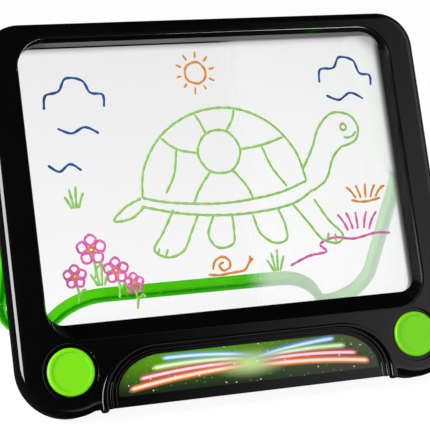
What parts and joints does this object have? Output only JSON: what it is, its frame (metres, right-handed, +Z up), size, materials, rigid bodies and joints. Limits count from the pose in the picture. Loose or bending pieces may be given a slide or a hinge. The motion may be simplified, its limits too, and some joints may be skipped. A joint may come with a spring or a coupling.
{
  "type": "led drawing board",
  "caption": "Edge-lit clear drawing panel in a rounded black frame with push buttons and a blank name plate, leaning back on a green folding loop stand.",
  "frame": {"origin": "middle of the bounding box, on the floor that the frame's lobes and the stand's feet stand on", "axes": "+X to the right for someone who faces the drawing side, +Y from the drawing side to the back, +Z up"},
  "size_m": [0.333, 0.1664, 0.2427],
  "materials": {
    "front_bezel": "polished black ABS moulding",
    "rear_cover": "satin black ABS moulding",
    "drawing_panel": "clear polished acrylic sheet",
    "name_label": "printed glossy film",
    "case_screws": "black-oxide steel screws",
    "board_screws": "zinc-plated steel screws",
    "power_button": "polished green ABS moulding",
    "power_plunger": "white moulded plastic",
    "power_switch": "black moulded plastic",
    "power_board": "green circuit board",
    "mode_button": "polished green ABS moulding",
    "mode_plunger": "white moulded plastic",
    "mode_switch": "black moulded plastic",
    "mode_board": "green circuit board",
    "driver_chip": "black epoxy chip package",
    "led_strip_right": "white circuit strip",
    "led_strip_left": "white circuit strip",
    "leds_right": "white lamp packages",
    "leds_left": "white lamp packages",
    "batteries": "plain metal cell jackets",
    "battery_springs": "nickel-plated spring wire",
    "battery_contacts": "nickel-plated steel plates",
    "battery_door": "satin black ABS moulding",
    "door_screws": "zinc-plated steel screws",
    "battery_wires": "insulated wire",
    "hinge_pin_right": "plain steel pin",
    "hinge_pin_left": "plain steel pin",
    "stand_frame": "polished green ABS moulding"
  },
  "bodies": {
    "board": {"front_bezel": "front_bezel", "rear_cover": "rear_cover", "drawing_panel": "drawing_panel", "name_label": "name_label", "case_screws": "case_screws", "board_screws": "board_screws", "power_switch": "power_switch", "power_board": "power_board", "mode_switch": "mode_switch", "mode_board": "mode_board", "driver_chip": "driver_chip", "led_strip_right": "led_strip_right", "led_strip_left": "led_strip_left", "leds_right": "leds_right", "leds_left": "leds_left", "batteries": "batteries", "battery_springs": "battery_springs", "battery_contacts": "battery_contacts", "battery_wires": "battery_wires", "hinge_pin_right": "hinge_pin_right", "hinge_pin_left": "hinge_pin_left"},
    "power_button_body": {"power_button": "power_button", "power_plunger": "power_plunger"},
    "mode_button_body": {"mode_button": "mode_button", "mode_plunger": "mode_plunger"},
    "door": {"battery_door": "battery_door", "door_screws": "door_screws"},
    "stand": {"stand_frame": "stand_frame"}
  },
  "joints": [
    {"name": "power_press", "type": "slide", "parent": "board", "child": "power_button_body", "axis": [0, 0.8453, -0.5344], "range_m": [0, 0.0018], "stiffness_N_per_m": 500, "springref_m": -0.001},
    {"name": "mode_press", "type": "slide", "parent": "board", "child": "mode_button_body", "axis": [0, 0.8453, -0.5344], "range_m": [0, 0.0018], "stiffness_N_per_m": 500, "springref_m": -0.001},
    {"name": "stand_fold", "type": "hinge", "parent": "board", "child": "stand", "pos_m": [0, 0.02699, 0.13127], "axis": [-1, 0, 0], "range_deg": [0, 48.6]},
    {"name": "door_lift", "type": "slide", "parent": "board", "child": "door", "axis": [0, 0.8453, -0.5344], "range_m": [0, 0.02]}
  ]
}
